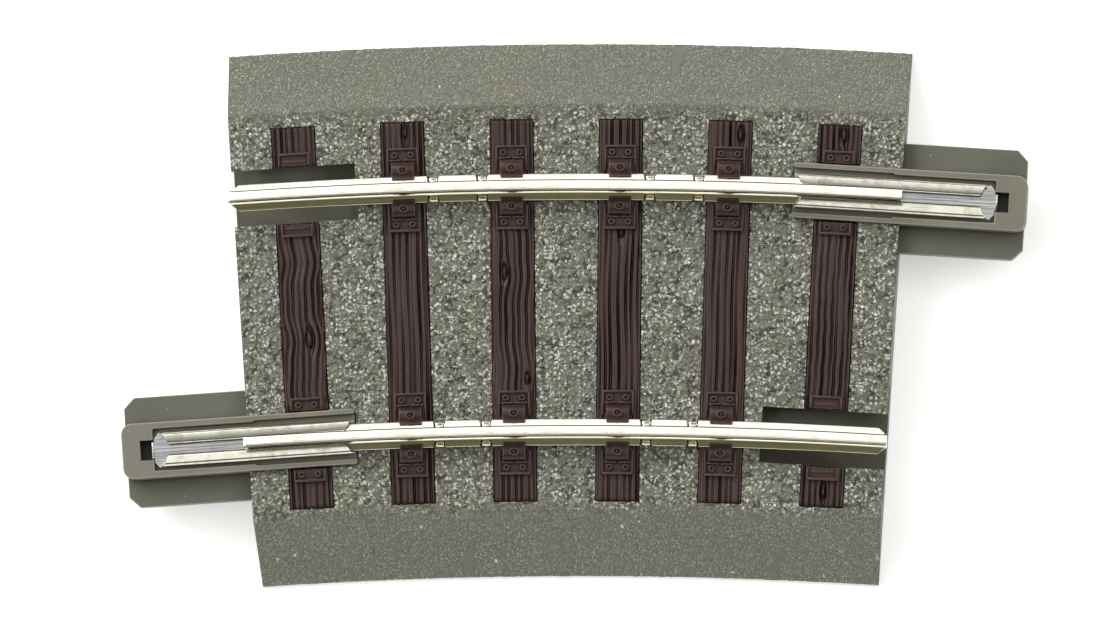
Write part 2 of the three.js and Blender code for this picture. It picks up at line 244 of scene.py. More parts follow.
# outline of a bar ending at x = end, its two corners rounded, or cut off where steps is 2
def barOutline(inner, end, half, corner, steps=7):
    outline = [(inner, -half)]
    outline += arc((end - corner, -half + corner), corner, -90, 0, steps)
    outline += arc((end - corner, half - corner), corner, 0, 90, steps)
    return outline + [(inner, half)]


def setInput(tree, node, name, value):
    socket = node.inputs[int(name)] if name.isdigit() else node.inputs[name]
    if isinstance(value, bpy.types.NodeSocket):
        tree.links.new(value, socket)
    else:
        socket.default_value = value


def addNode(tree, kind, settings=None, **inputs):
    node = tree.nodes.new(kind)
    for key, value in (settings or {}).items():
        setattr(node, key, value)
    for key, value in inputs.items():
        setInput(tree, node, key.replace("_", " "), value)
    return node


def maths(tree, operation, *values):
    node = addNode(tree, "ShaderNodeMath", {"operation": operation})
    for i, value in enumerate(values):
        setInput(tree, node, str(i), value)
    return node.outputs[0]


def times(tree, first, second):
    return maths(tree, "MULTIPLY", first, second)


def plus(tree, first, second):
    return maths(tree, "ADD", first, second)


def vectors(tree, operation, *values):
    node = addNode(tree, "ShaderNodeVectorMath", {"operation": operation})
    for i, value in enumerate(values):
        setInput(tree, node, "Scale" if operation == "SCALE" and i == 1 else str(i), value)
    return node.outputs["Vector"]


def splitVector(tree, vector):
    return addNode(tree, "ShaderNodeSeparateXYZ", Vector=vector).outputs


def mapped(tree, value, low, high, to0=0.0, to1=1.0):  # an eased step from low to high
    node = addNode(tree, "ShaderNodeMapRange", {"interpolation_type": "SMOOTHSTEP"})
    limits = {"Value": value, "From Min": low, "From Max": high, "To Min": to0, "To Max": to1}
    for name, number in limits.items():
        setInput(tree, node, name, number)
    return node.outputs[0]


def mixColours(tree, share, first, second):
    node = addNode(tree, "ShaderNodeMix", {"data_type": "RGBA"})
    for i, value in ((0, share), (6, first), (7, second)):  # the sockets of the colour mix
        setInput(tree, node, str(i), value)
    return node.outputs[2]


def geometryTree(name, sockets):
    tree = bpy.data.node_groups.new(name, "GeometryNodeTree")
    tree.interface.new_socket("Geometry", in_out="INPUT", socket_type="NodeSocketGeometry")
    for label, kind in sockets.items():
        tree.interface.new_socket(label, in_out="INPUT", socket_type="NodeSocket" + kind)
    tree.interface.new_socket("Geometry", in_out="OUTPUT", socket_type="NodeSocketGeometry")
    return tree, tree.nodes.new("NodeGroupInput").outputs


def endTree(tree, geometry, material):
    real = addNode(tree, "GeometryNodeRealizeInstances", Geometry=geometry)
    painted = addNode(tree, "GeometryNodeSetMaterial", Geometry=real.outputs[0], Material=material)
    tree.links.new(painted.outputs[0], tree.nodes.new("NodeGroupOutput").inputs[0])
    return tree


def runTree(piece, tree, **values):
    step = piece.modifiers.new(tree.name, "NODES")
    step.node_group = tree
    ids = {item.name: item.identifier for item in tree.interface.items_tree if item.in_out == "INPUT"}
    for label, value in values.items():
        step[ids[label.replace("_", " ")]] = value
    piece.update_tag()
    return applyModifiers(piece)


def shaderGroup(name, inputs, outputs):
    tree = bpy.data.node_groups.new(name, "ShaderNodeTree")
    for label, value in inputs.items():
        kind = "NodeSocketVector" if value is None else "NodeSocketFloat"
        socket = tree.interface.new_socket(label, in_out="INPUT", socket_type=kind)
        if value is not None:
            socket.default_value = value
    for label in outputs:
        tree.interface.new_socket(label, in_out="OUTPUT", socket_type="NodeSocketFloat")
    return tree, tree.nodes.new("NodeGroupInput").outputs, tree.nodes.new("NodeGroupOutput").inputs


def material(name, roughness=0.5, metallic=0.0, **sockets):
    made = bpy.data.materials.new(name)
    made.use_nodes = True
    shader = made.node_tree.nodes["Principled BSDF"]
    shader.inputs["Roughness"].default_value = roughness
    shader.inputs["Metallic"].default_value = metallic
    for key, value in sockets.items():
        shader.inputs[key.replace("_", " ")].default_value = value
    return made, made.node_tree, shader


def useGroup(tree, group, **inputs):
    return addNode(tree, "ShaderNodeGroup", {"node_tree": group}, **inputs).outputs


def rgb(*display):  # from display values to the scene's linear ones
    linear = [v / 12.92 if v <= 0.04045 else ((v + 0.055) / 1.055) ** 2.4 for v in display]
    return (*linear, 1.0)


view = dict(distance=1.0, east=0.056, south=-0.065, aim=(-1.59 * mm, 0.08 * mm, 0.0), width=78.58 * mm,
            sensor=36.0)
# place, width and height, and power of each soft box
softBoxes = dict(northWest=((-0.75, 0.75, 1.0), (0.9, 0.8), 11.0), east=((0.95, 0.4, 1.3), (0.9, 0.9), 6.0),
                 west=((-0.95, -0.2, 1.3), (0.9, 0.9), 5.0), overhead=((0.0, 0.88, 1.7), (2.0, 2.3), 15.5),
                 south=((0.15, -1.6, 0.5), (1.8, 0.9), 6.0))
studio = dict(fill=(0.15, 0.15, 0.125, 1), backdrop=(0.9, 0.9, 0.89, 1), floor=(0.95, 0.95, 0.94, 1),
              glow=0.45, floorHalf=3.0)


def addCamera():
    camera = addObject("camera", bpy.data.cameras.new("camera"))
    back = Vector((view["east"], view["south"], 1.0)).normalized()
    right = Vector((0, 1, 0)).cross(back).normalized()
    up = back.cross(right)
    turn = Matrix((right, up, back)).transposed().to_4x4()
    camera.matrix_world = Matrix.Translation(Vector(view["aim"]) + back * view["distance"]) @ turn
    camera.data.sensor_width = view["sensor"]
    camera.data.lens = view["sensor"] * view["distance"] / view["width"]
    camera.data.clip_start, camera.data.clip_end = 0.01, 20.0
    bpy.context.scene.camera = camera


def addSoftBox(name, place, across, power):
    lamp = addObject(name, bpy.data.lights.new(name, "AREA"))
    lamp.data.shape, lamp.data.size, lamp.data.size_y = "RECTANGLE", across[0], across[1]
    lamp.data.energy = power
    lamp.location = place
    lamp.rotation_euler = (-Vector(place)).to_track_quat("-Z", "Y").to_euler()


def addStudio():
    half = studio["floorHalf"]
    floor = meshObject("floor", [(-half, -half, 0), (half, -half, 0), (half, half, 0), (-half, half, 0)],
                       [(0, 1, 2, 3)])
    paper = material("paper", roughness=0.9, Base_Color=studio["floor"], Emission_Color=studio["floor"],
                     Emission_Strength=studio["glow"])[0]
    paintOver(floor, paper)
    for name, (place, across, power) in softBoxes.items():
        addSoftBox(name, place, across, power)
    world = bpy.data.worlds.new("studio")
    bpy.context.scene.world = world
    world.use_nodes = True
    tree = world.node_tree
    path = addNode(tree, "ShaderNodeLightPath")  # the backdrop itself is pale, the light it gives is dim
    seen = mixColours(tree, path.outputs["Is Camera Ray"], studio["fill"], studio["backdrop"])
    setInput(tree, tree.nodes["Background"], "Color", seen)
    bpy.context.scene.view_settings.view_transform = "Standard"


addCamera()
addStudio()
print("camera and studio set")


# Stones melted into a crust: smooth stones, with small shiny bumps and worms on them.
# Gives the height, the tone of each stone, a grey to olive drift and how high the small bumps stand.
def stonePattern(tree, point, size, warp):
    plane, cells = {"noise_dimensions": "2D"}, {"voronoi_dimensions": "2D", "feature": "SMOOTH_F1"}
    flat = vectors(tree, "MULTIPLY", point, (1.0 / size, 1.0 / size, 0.0))
    drift = addNode(tree, "ShaderNodeTexNoise", plane, Vector=flat, Scale=0.6, Detail=1.0)
    centred = vectors(tree, "SUBTRACT", drift.outputs[1], (0.5, 0.5, 0.5))
    flat = vectors(tree, "ADD", flat, vectors(tree, "MULTIPLY", centred, (warp, warp, 0.0)))
    stone = addNode(tree, "ShaderNodeTexVoronoi", cells, Vector=flat, Scale=0.42, Smoothness=0.35)
    knob = addNode(tree, "ShaderNodeTexVoronoi", cells, Vector=flat, Scale=1.0, Smoothness=0.25)
    lot = splitVector(tree, knob.outputs[1])
    tone = splitVector(tree, stone.outputs[1])
    body = mapped(tree, stone.outputs[0], 0.75, 0.1)
    bead = times(tree, mapped(tree, knob.outputs[0], 0.55, 0.1), mapped(tree, lot[0], 0.1, 0.8, 0.4, 1.0))
    ripple = addNode(tree, "ShaderNodeTexNoise", plane, Vector=flat, Scale=1.1, Detail=1.0)
    away = maths(tree, "ABSOLUTE", maths(tree, "SUBTRACT", ripple.outputs[0], 0.5))
    worm = times(tree, mapped(tree, away, 0.09, 0.0), mapped(tree, lot[1], 0.2, 0.4))
    crest = maths(tree, "MAXIMUM", bead, times(tree, worm, 0.9))
    high = plus(tree, times(tree, body, 0.22), times(tree, crest, 0.8))
    return high, tone[0], tone[1], crest


bed = dict(outerLean=0.675, innerLean=-0.652,
           **lengths(outerEdge=19.395, innerEdge=-18.705, outerCrest=14.69, innerCrest=-14.32, rim=0.45,
                     skin=0.45, sinkTop=0.32, sinkRim=0.2, stoneStep=0.115, slopeStep=0.24))
stones = dict(warp=0.9, **lengths(size=0.34, height=0.20, lift=0.012, slopeSize=0.26, slopeHeight=0.045))
# how the stones of the top give way to the grit of the slopes
border = dict(seed=7, **lengths(wave=0.22, waveLength=1.9, ripple=0.12, rippleLength=0.63, scatter=0.22,
                                inset=0.3, blend=0.8))
# the slot at a rail end, deeper where it is open for the next section's joiner
joinerSlot = lengths(half=1.995, ownDepth=7.925, openDepth=9.01, ownCorner=0.21, openCorner=0.05, beyond=5)
sleeper = lengths(width=3.0, halfLength=13.58, bottom=4.95, gap=0.08)


def bedSurface(offset):  # height of the smooth bed over an offset from the centre line
    top, rim = levels["ballast"], bed["rim"]
    outer = (bed["outerEdge"] - offset) / (bed["outerEdge"] - bed["outerCrest"])
    inner = (bed["innerEdge"] - offset) / (bed["innerEdge"] - bed["innerCrest"])
    return rim + (top - rim) * np.clip(np.minimum(outer, inner), 0, 1)


def spaced(first, last, step):
    count = max(1, round(math.dist(first, last) / step))
    return [tuple(np.array(first) + (np.array(last) - np.array(first)) * i / count) for i in range(count)]


def skinOutline():
    top, rim, skin = levels["ballast"], bed["rim"], bed["skin"]
    corners = [(bed["outerEdge"], 0.0), (bed["outerEdge"], rim), (bed["outerCrest"], top),
               (bed["innerCrest"], top), (bed["innerEdge"], rim), (bed["innerEdge"], 0.0)]
    steps = [rim, bed["slopeStep"], bed["stoneStep"], bed["slopeStep"], rim]
    outline = []
    for first, last, step in zip(corners, corners[1:], steps):
        outline += spaced(first, last, step)
    leg = skin * 1.3  # the sloping skin is wider where it is cut level at the table
    return outline + [(bed["innerEdge"], 0.0), (bed["innerEdge"] + leg, 0.0),
                      (bed["innerCrest"] + skin / 2, top - skin), (bed["outerCrest"] - skin / 2, top - skin),
                      (bed["outerEdge"] - leg, 0.0)]


# Carries a closed outline along the arc of the track. The outline's X is the offset, its Y the depth.
def sectionTree():
    tree, given = geometryTree("sectionAlongTrack", {"Radius": "Float", "Half Angle": "Float",
                                                     "Steps": "Int", "Material": "Material"})
    start = maths(tree, "SUBTRACT", math.pi / 2, given["Half Angle"])
    sweep, count = times(tree, given["Half Angle"], 2.0), plus(tree, given["Steps"], 1.0)
    bend = addNode(tree, "GeometryNodeCurveArc", Resolution=count, Radius=given["Radius"], Start_Angle=start,
                   Sweep_Angle=sweep)
    down = addNode(tree, "ShaderNodeCombineXYZ", Y=times(tree, given["Radius"], -1.0))
    path = addNode(tree, "GeometryNodeSetPosition", Geometry=bend.outputs[0], Offset=down.outputs[0])
    upright = addNode(tree, "GeometryNodeSetCurveNormal", {"mode": "Z_UP"}, Curve=path.outputs[0])
    outline = addNode(tree, "GeometryNodeMeshToCurve", Mesh=given["Geometry"])
    solid = addNode(tree, "GeometryNodeCurveToMesh", Curve=upright.outputs[0],
                    Profile_Curve=outline.outputs[0], Fill_Caps=True)
    return endTree(tree, solid.outputs[0], given["Material"])


def alongTrack(name, outline, halfAngle, steps, paint):
    n = len(outline)
    piece = meshObject(name, [(u, -v, 0) for u, v in outline], edges=[(i, (i + 1) % n) for i in range(n)])
    runTree(piece, trees["section"], Radius=plan["radius"], Half_Angle=halfAngle, Steps=steps,
            Material=paint)
    return tidy(piece)


# Raises stones along the vector attribute lift, by the float attributes coarse and fine.
def reliefTree():
    tree, given = geometryTree("stoneRelief", {"Coarse Height": "Float", "Fine Height": "Float",
                                               "Lift": "Float", "Material": "Material"})
    point = addNode(tree, "GeometryNodeInputPosition").outputs[0]
    read = {name: addNode(tree, "GeometryNodeInputNamedAttribute", {"data_type": kind}, Name=name).outputs[0]
            for name, kind in (("coarse", "FLOAT"), ("fine", "FLOAT"), ("lift", "FLOAT_VECTOR"))}
    big = stonePattern(tree, point, stones["size"], stones["warp"])[0]
    small = stonePattern(tree, point, stones["slopeSize"], stones["warp"])[0]
    high = times(tree, times(tree, big, given["Coarse Height"]), read["coarse"])
    low = times(tree, times(tree, small, given["Fine Height"]), read["fine"])
    rise = plus(tree, plus(tree, high, low), given["Lift"])
    moved = addNode(tree, "GeometryNodeSetPosition", Geometry=given["Geometry"],
                    Offset=vectors(tree, "SCALE", read["lift"], rise))
    return endTree(tree, moved.outputs[0], given["Material"])


# Puts one object on every point, turned about Z by the point's turn attribute.
def placesTree():
    tree, given = geometryTree("shapesOnPoints", {"Shape": "Object", "Material": "Material"})
    shape = addNode(tree, "GeometryNodeObjectInfo", {"transform_space": "ORIGINAL"}, Object=given["Shape"])
    turn = addNode(tree, "GeometryNodeInputNamedAttribute", {"data_type": "FLOAT"}, Name="turn")
    angles = addNode(tree, "ShaderNodeCombineXYZ", Z=turn.outputs[0])
    placed = addNode(tree, "GeometryNodeInstanceOnPoints", Points=given["Geometry"],
                     Instance=shape.outputs["Geometry"], Rotation=angles.outputs[0])
    return endTree(tree, placed.outputs[0], given["Material"])


# places holds ((x, y, z), turn) for each copy of the shape.
def onPoints(name, shape, places, paint):
    piece = meshObject(name, [place for place, turn in places])
    writeValues(piece.data, "turn", [turn for place, turn in places])
    runTree(piece, trees["places"], Shape=shape, Material=paint)
    bpy.data.objects.remove(shape)
    return piece


def sinkSurface(mesh):  # lowers the plain top of the CAD bed, so that the stony skin covers it
    points = getPoints(mesh)
    offset, angle = polar(points)
    onTop = np.abs(points[:, 2] - bedSurface(offset)) < 0.02 * mm
    onTop &= points[:, 2] > bed["rim"] / 2
    points[onTop, 2] -= bed["sinkTop"]
    atEdge = (offset > bed["outerEdge"] - 0.05 * mm) | (offset < bed["innerEdge"] + 0.05 * mm)
    onRim = (points[:, 2] < bed["rim"] * 1.1) & atEdge
    inward = -np.sign(offset[onRim]) * bed["sinkRim"]
    points[onRim, 0] += inward * np.sin(angle[onRim])
    points[onRim, 1] += inward * np.cos(angle[onRim])
    setPoints(mesh, points)


def markRelief(mesh):
    points = getPoints(mesh)
    offset, angle = polar(points)
    x, z = points[:, 0], points[:, 2]
    rng = np.random.default_rng(border["seed"])
    onTop = np.abs(z - bedSurface(offset)) < 0.01 * mm
    wobble = border["wave"] * np.sin(x / border["waveLength"])
    wobble += border["ripple"] * np.sin(x / border["rippleLength"] + 1)
    wobble += rng.normal(0, border["scatter"], len(points))
    edge = np.minimum(bed["outerCrest"] - offset, offset - bed["innerCrest"]) + wobble - border["inset"]
    coarse = np.clip(edge / border["blend"] + 0.5, 0, 1) * onTop
    onRim = (offset > bed["outerEdge"] - 0.01 * mm) | (offset < bed["innerEdge"] + 0.01 * mm)
    onRim &= z > 0.1 * mm
    fine = (1 - coarse * 0.6) * (onTop | onRim)
    lean = np.where(offset < bed["innerCrest"], bed["innerLean"], 0.0)
    lean = np.where(offset > bed["outerCrest"], bed["outerLean"], lean)
    away = np.stack([np.sin(angle), np.cos(angle)], axis=1)
    lift = np.column_stack([away * lean[:, None], np.sqrt(1 - lean ** 2)]) * onTop[:, None]
    side = np.sign(offset[onRim])[:, None]
    lift[onRim] = np.column_stack([away[onRim] * side, side * 0])
    for name, values in (("coarse", coarse), ("fine", fine), ("lift", lift)):
        writeValues(mesh, name, values)


def addBallastBed(paint):
    steps = round(2 * plan["halfAngle"] * plan["radius"] / bed["stoneStep"])
    half = plan["halfAngle"] - plan["bedGap"] / plan["radius"]
    skin = alongTrack("ballast_moulding", skinOutline(), half, steps, paint)
    width, long = sleeper["width"] / 2 + sleeper["gap"], sleeper["halfLength"] + sleeper["gap"]
    low, high = levels["underTools"], levels["overTools"]
    recesses = [block("recess", (-width, -long, low), (width, long, high), at=curveFrame(angle))
                for angle in sleeperAngles]
    cutOrJoin(skin, joined("recesses", recesses), solver="MANIFOLD")
    pockets = []
    for end, rail, isOpen in railEnds:
        kind = "open" if isOpen else "own"
        outline = barOutline(-joinerSlot["beyond"], joinerSlot[kind + "Depth"], joinerSlot["half"],
                             joinerSlot[kind + "Corner"])
        inward = [(-x, y) for x, y in outline]
        pockets.append(prism("pocket", inward, low, high, at=railEndFrame(end, rail * plan["railOffset"])))
    cutOrJoin(skin, joined("pockets", pockets), solver="MANIFOLD")
    core = addObject("core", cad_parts["ballast_bed"].data.copy())
    tidy(core, merge=3e-6)  # closes the slivers of the CAD mesh
    sinkSurface(core.data)
    cutOrJoin(skin, core, operation="UNION", solver="MANIFOLD")
    markRelief(skin.data)
    runTree(skin, trees["relief"], Coarse_Height=stones["height"], Fine_Height=stones["slopeHeight"],
            Lift=stones["lift"], Material=paint)
    smooth(skin, 50)
    print("ballast bed:", len(skin.data.polygons), "faces")
    return skin


railShape = dict(footSlope=18, steps=150,
                 **lengths(footHalf=0.95, footEdge=0.24, footRound=0.07, webHalf=0.19, fillet=0.5,
                           footRise=0.85, headHalf=0.4, headDepth=0.55, headTaper=0.12, headRadius=0.15,
                           neckRound=0.05, neckDrop=0.06, headSoft=0.03, endBevel=0.03, spare=0.02,
                           cutLow=5, cutOut=0.2))
notch = dict(spread=math.radians(0.272),
             **lengths(half=0.5, splay=0.14, depth=0.5, footChamfer=0.7, tabHalf=0.29, tabFloor=5.86,
                       tabSheet=0.1, tabBend=0.06, tabRoot=0.1, tabGap=0.05, tabRound=0.02))


def railOutline(offset):
    foot, head, s = levels["foot"], levels["railTop"], railShape
    slope, r = s["footSlope"], s["fillet"]
    lean = math.radians(slope)
    meets = s["webHalf"] + r * (1 - math.sin(lean))  # where the fillet leaves the foot
    meetsAt = foot + s["footEdge"] + (s["footHalf"] - meets) * math.tan(lean)
    centre = (s["webHalf"] + r, meetsAt + r * math.cos(lean))
    edge = s["footEdge"] - s["footRound"]
    right = [(s["footHalf"] - s["endBevel"], foot), (s["footHalf"], foot + s["endBevel"])]
    right += arc((s["footHalf"] - s["footRound"], foot + edge), s["footRound"], 0, 90 - slope, 4)
    right += arc(centre, r, 270 - slope, 180, 9)
    neck, soft = head - s["headDepth"], s["headSoft"]
    brim = neck + s["headTaper"]
    right += [(s["webHalf"], neck - s["neckDrop"]), (s["webHalf"] + s["neckRound"], neck),
              (s["headHalf"] - s["neckRound"], brim - soft), (s["headHalf"], brim + soft)]
    right += arc((s["headHalf"] - s["headRadius"], head - s["headRadius"]), s["headRadius"], 0, 90, 7)
    left = [(-u, z) for u, z in reversed(right)]
    return [(offset + u, z) for u, z in right + left]


def notchPlaces():
    return [half * plan["sleeperPitch"] + way * notch["spread"] for half in (-1, 1) for way in (-1, 1)]


# The little tongue bent down and out of the foot in each notch, outside the rail at +Y.
def pressedTab(name):
    s, n = railShape, notch
    near, far = s["footHalf"] - n["depth"], s["footHalf"] - n["tabGap"]
    root, low, top = near - n["tabRoot"], n["tabFloor"], levels["foot"] + s["footEdge"]
    over, bend = low + n["tabSheet"], n["tabBend"]
    outline = [(root, top), (near + 0.03 * mm, top), (near + 0.14 * mm, over + bend),
               (far - 2 * bend, over + 0.1 * mm), (far, over), (far, low), (near + bend, low),
               (root, low + 0.2 * mm)]
    return bevel(prism(name, outline, -n["tabHalf"], n["tabHalf"], axes="yzx"), n["tabRound"], 2)


# The tools that cut the notches for the tabs, and the slanted foot of the bare end.
def footCuts(offset, bareEnd):
    s, n = railShape, notch
    top, cuts = levels["foot"] + s["footRise"] + s["spare"], []
    edge, back = s["footHalf"] + s["cutOut"], n["footChamfer"] + s["cutOut"]
    mouth, floor = n["half"], n["half"] - n["splay"]
    for angle in notchPlaces():
        for side in (-1, 1):
            deep = side * (s["footHalf"] - n["depth"])
            outline = [(-floor, deep), (floor, deep), (mouth, side * edge), (-mouth, side * edge)]
            cuts.append(prism("notch", outline, s["cutLow"], top, at=curveFrame(angle, offset)))
    for side in (-1, 1):
        outline = [(-back, side * edge), (s["cutOut"], side * edge), (s["cutOut"], side * (edge - back))]
        cuts.append(prism("chamfer", outline, s["cutLow"], top, at=railEndFrame(bareEnd, offset)))
    return joined("cuts", cuts)


def addRail(name, offset, bareEnd, paint):
    rail = alongTrack(name, railOutline(offset), plan["halfAngle"], railShape["steps"], paint)
    cutOrJoin(rail, footCuts(offset, bareEnd))
    bevel(rail, railShape["endBevel"], 2, angle=50)
    places = []
    for angle in notchPlaces():
        at = tuple(curvePoint(offset, angle))
        places += [(at, math.pi - angle), (at, -angle)]  # one tab on each side of the rail
    rail = joined(name, [rail, onPoints("tabs", pressedTab("tab"), places, paint)])
    rail.data.materials.append(paint)
    smooth(rail, 32)
    flatten(rail)
    points = getPoints(rail.data)
    across, angle = polar(points)
    markCourse(rail, np.stack([angle * plan["radius"], across - offset, points[:, 2]], axis=1))
    return rail


grain = dict(columns=90, lines=9,
             **lengths(wavyReach=7.5, step=0.22, depth=0.2, width=0.1, spacing=0.45, bevel=0.12,
                       scatter=0.06, fineWidth=0.03, fineBreak=2.2, endStep=0.07, endDrop=0.06))
knot = dict(stretch=2.6, swirl=0.75, ringAt=0.5, ringWidth=0.16, ringDepth=0.8, heart=0.3, heartRise=0.7)
peg = lengths(radius=0.6, low=3.5, high=5.0, out=2.2)
# each plank in millimetres: waves (reach, wavelength, phase) and knots (across, along, radius)
planks = {
    1: dict(seed=11, waves=[(0.15, 6.0, 0.4), (0.05, 2.7, 2.0)], knots=[(0.45, -1.6, 0.5)]),
    2: dict(seed=12, waves=[(0.03, 9.0, 0.0)], knots=[(0.2, 12.8, 0.35)]),
    3: dict(seed=13, waves=[(0.10, 8.0, 2.2), (0.04, 3.1, 0.3)],
            knots=[(-0.62, 2.7, 0.42), (0.95, -4.9, 0.3)]),
    4: dict(seed=14, waves=[(0.07, 11.0, 1.0)], knots=[(0.1, 5.6, 0.4)]),
    5: dict(seed=15, waves=[(0.04, 10.0, 0.7)], knots=[(0.75, 12.6, 0.4)]),
    6: dict(seed=16, waves=[(0.03, 8.0, 0.0), (0.02, 2.0, 1.0)],
            knots=[(0.3, 12.9, 0.45), (0.1, -12.6, 0.4)]),
}


# Depth of the moulded wood grain at points across and along a sleeper.
def plankHollow(x, y, spec):
    rng = np.random.default_rng(spec["seed"])
    flow = x.copy()
    ease = 1 / (1 + (y / grain["wavyReach"]) ** 8)  # the grain runs straight near the ends
    for reach, wavelength, phase in spec["waves"]:
        flow += ease * reach * mm * np.sin(2 * math.pi * y / (wavelength * mm) + phase)
    depth = np.zeros_like(x)
    for across, along, radius in spec["knots"]:
        far = ((x - across * mm) ** 2 + ((y - along * mm) / knot["stretch"]) ** 2) / (radius * mm) ** 2
        flow += (x - across * mm) * -knot["swirl"] * np.exp(-far)
        out = np.sqrt(far)
        depth += knot["ringDepth"] * np.exp(-((out - knot["ringAt"]) / knot["ringWidth"]) ** 2)
        depth -= knot["heartRise"] * np.exp(-(out / knot["heart"]) ** 2)
    count = grain["lines"]
    lines = (np.arange(count) - count // 2) * grain["spacing"] + rng.normal(0, grain["scatter"], count)
    for line in lines:
        strong = rng.uniform(0.65, 1.0)
        breaks = 0.75 + 0.25 * np.sin(y / (rng.uniform(1.5, 4) * mm) + rng.uniform(0, 6))
        depth += strong * breaks * np.exp(-((flow - line) / grain["width"]) ** 2)
    for line in lines + grain["spacing"] * rng.uniform(0.35, 0.65, count):
        shown = np.sin(y / grain["fineBreak"] + rng.uniform(0, 6)) > 0.3
        depth += 0.2 * np.exp(-((flow - line) / grain["fineWidth"]) ** 2) * shown
    return np.clip(depth, -0.4, 1.15)


# A closed block with a grained top between two lines, each given as along = line(across).
def sleeperBlock(name, startLine, endLine, spec):
    half, top, low = sleeper["width"] / 2, levels["sleeper"], sleeper["bottom"]
    edge, columns, middle = grain["bevel"], grain["columns"], (low + top) / 2
    across = np.concatenate([[-half] * 3, np.linspace(-half + edge, half - edge, columns), [half] * 3])
    height = np.concatenate([[low, middle, top - edge], np.full(columns, top), [top - edge, middle, low]])
    long = abs(endLine(0) - startLine(0))
    nearEnd = grain["endStep"] / long
    share = np.linspace(0, 1, max(8, round(long / grain["step"])) + 1)
    share = np.concatenate([[0, nearEnd], share[1:-1], [1 - nearEnd, 1]])
    start, end = startLine(across), endLine(across)
    y = start[None] + (end - start)[None] * share[:, None]
    x = np.repeat(across[None], len(share), axis=0)
    z = np.repeat(height[None], len(share), axis=0)
    isTop = np.abs(z - top) < 1e-9
    hollow = plankHollow(x, y, spec)
    z = z - isTop * hollow * grain["depth"]
    z[[0, -1]] -= isTop[[0, -1]] * grain["endDrop"]
    points = np.stack([x, y, z], axis=-1).reshape(-1, 3)
    piece = meshObject(name, points, ringFaces(len(share), len(across)))
    writeValues(piece.data, "hollow", (isTop * np.clip(hollow, 0, 1)).ravel())
    return tidy(piece, merge=1e-8)


chair = lengths(plateHalf=1.0, plateFrom=0.98, plateTo=2.86, bottom=5.85, cutFrom=2.12, clampHalf=0.8,
                clampFrom=0.76, clampBack=0.98, clampTo=2.0, clampLow=5.8, clampTop=6.76, underside=6.38,
                rimWidth=0.13, rimFrom=1.25, rimTop=6.32, rimSoft=0.035, ridgeFrom=2.04, ridgeTo=2.17,
                ridgeTop=6.34, ridgeGap=0.07, ridgeInset=0.08, lineHalf=0.8, lineFrom=2.3, lineTo=2.48,
                lineTop=6.16, boltOut=2.48, boltSide=0.58, clampBolt=1.38, soft=0.03)
bolt = lengths(radius=0.23, low=6.0, high=6.38, hollow=0.2)
ring = lengths(radius=0.4, low=6.6, high=6.88, hollow=0.12)
nut = lengths(radius=0.14, tip=0.1, low=6.7, shoulder=6.92, high=6.97)


def rimBar(first, second, near, far, top):
    left, right = sorted((first, second))
    return bevel(block("rim", (left, near, chair["bottom"]), (right, far, top)), chair["rimSoft"], 2)


def boltHead(name, radius, low, high, hollow):
    profile = [(radius, low), (radius, high - 0.04 * mm), (radius * 0.86, high), (radius * 0.55, high)]
    profile += [(radius * 0.42, high - hollow), (radius * 0.1, high - hollow)]
    return bevel(turned(name, profile, 14), 0.02 * mm, 1, angle=35)


def clampParts():  # the clamp over the rail's foot, with its ring and nut
    c = chair
    back, nose, end = c["clampBack"], c["clampFrom"], c["clampTo"]
    low, under, top = c["clampLow"], c["underside"], c["clampTop"]
    outline = [(back, low), (end, low), (end, 6.4 * mm), (end - 0.1 * mm, 6.6 * mm),
               (end - 0.35 * mm, 6.72 * mm), (1.5 * mm, top), (nose + 0.3 * mm, top - 0.05 * mm),
               (nose, 6.54 * mm), (nose, under), (back, under)]
    clamp = prism("clamp", outline, -c["clampHalf"], c["clampHalf"], axes="yzx")
    collar = boltHead("collar", **ring)
    collar.data.transform(Matrix.Translation((0, c["clampBolt"], 0)) @ Matrix.Diagonal((1, 0.75, 1, 1)))
    profile = [(nut["radius"], nut["low"]), (nut["radius"], nut["shoulder"]), (nut["tip"], nut["high"])]
    tip = turned("nut", profile, 6, at=(0, c["clampBolt"], 0))
    return [bevel(clamp, 0.05 * mm, 3, angle=60), collar, tip]


# Half of a rail chair, on the +Y side of a rail at the origin: base plate, rim, bolts and clamp.
def chairShape(name, paint, whole=True, bolts=True):
    c = chair
    side, end, rim, soft = c["plateHalf"], c["plateTo"], c["rimWidth"], c["soft"]
    plateFrom, rimFrom = (c["plateFrom"], c["rimFrom"]) if whole else (c["cutFrom"], c["cutFrom"])
    parts = [bevel(block("plate", (-side, plateFrom, c["bottom"]), (side, end, levels["plate"])), soft, 2)]
    for way in (-1, 1):
        parts.append(rimBar(way * side, way * (side + rim), rimFrom, end, c["rimTop"]))
    parts.append(rimBar(-side - rim * 0.7, side + rim * 0.7, end - 0.02 * mm, end + rim, c["rimTop"]))
    if whole:
        for way in (-1, 1):
            parts.append(rimBar(way * c["ridgeGap"], way * (side - c["ridgeInset"]), c["ridgeFrom"],
                                c["ridgeTo"], c["ridgeTop"]))
        parts += clampParts()
    if bolts:
        places = [((way * c["boltSide"], c["boltOut"], 0), 0.0) for way in (-1, 1)]
        parts.append(onPoints("heads", boltHead("head", **bolt), places, paint))
    else:
        parts.append(rimBar(-c["lineHalf"], c["lineHalf"], c["lineFrom"], c["lineTo"], c["lineTop"]))
    return joined(name, parts)


